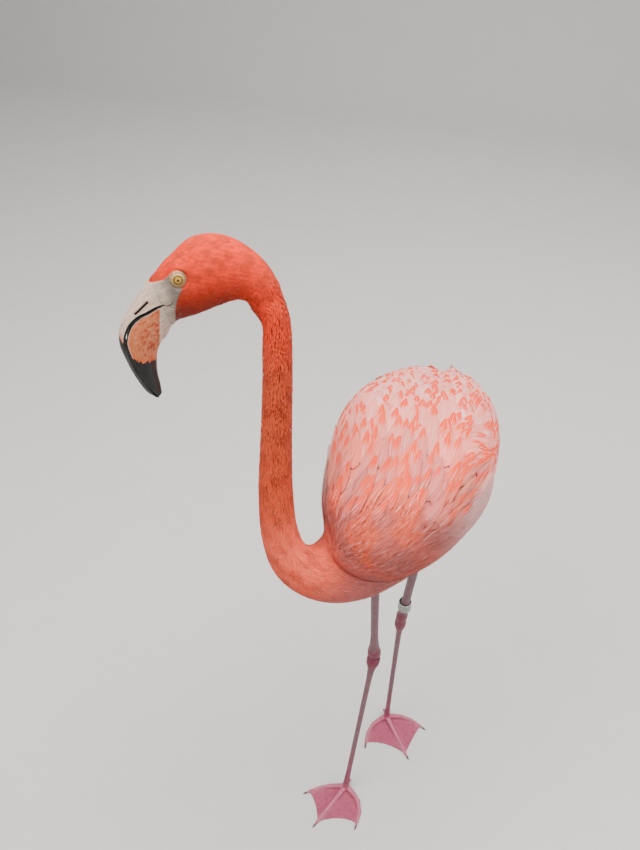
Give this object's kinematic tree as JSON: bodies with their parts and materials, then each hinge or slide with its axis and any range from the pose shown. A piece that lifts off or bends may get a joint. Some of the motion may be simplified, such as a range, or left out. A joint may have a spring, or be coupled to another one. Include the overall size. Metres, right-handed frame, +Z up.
{
  "type": "american flamingo",
  "caption": "Life-size standing flamingo with a long curved neck turned to its right, down-bent bill, folded wings and webbed feet, plain ring on the left leg.",
  "frame": {"origin": "on the floor, at the bottom centre of the standing bird's bounding box", "axes": "+Z up, -Y the way the chest faces, +X the bird's own left side; it holds its head over towards its right and looks back to its front right"},
  "size_m": [0.3886, 0.5149, 1.152],
  "materials": {
    "plumage": "soft overlapping feathers, matte",
    "wing_plumage": "long overlapping feathers, matte with a faint sheen",
    "neck_plumage": "very short dense feathers, matte",
    "bill_pale": "horn, satin, black towards the tip",
    "bill_orange": "horn, satin, black towards the tip",
    "eye": "wet and glossy",
    "leg_skin": "bare scaled skin, satin",
    "ankle_skin": "bare scaled skin, satin",
    "foot_skin": "bare scaled skin and web, satin",
    "claw_horn": "dark horn, satin",
    "band": "plain grey-green ring, satin, unmarked"
  },
  "bodies": {
    "root": {"trunk": "plumage", "tail": "plumage", "thigh_left": "plumage", "thigh_right": "plumage", "wing_left": "wing_plumage", "wing_right": "wing_plumage", "neck_1": "neck_plumage", "neck_2": "neck_plumage", "neck_3": "neck_plumage", "neck_4": "neck_plumage", "head": "neck_plumage", "bill_upper": "bill_pale", "bill_lower": "bill_orange", "eye_left": "eye", "eye_right": "eye", "tibia_left": "leg_skin", "tibia_right": "leg_skin", "tarsus_left": "leg_skin", "tarsus_right": "leg_skin", "ankle_left": "ankle_skin", "ankle_right": "ankle_skin", "foot_left": "foot_skin", "foot_right": "foot_skin", "claw_left_1": "claw_horn", "claw_left_2": "claw_horn", "claw_left_3": "claw_horn", "claw_right_1": "claw_horn", "claw_right_2": "claw_horn", "claw_right_3": "claw_horn", "leg_band": "band"}
  },
  "joints": []
}
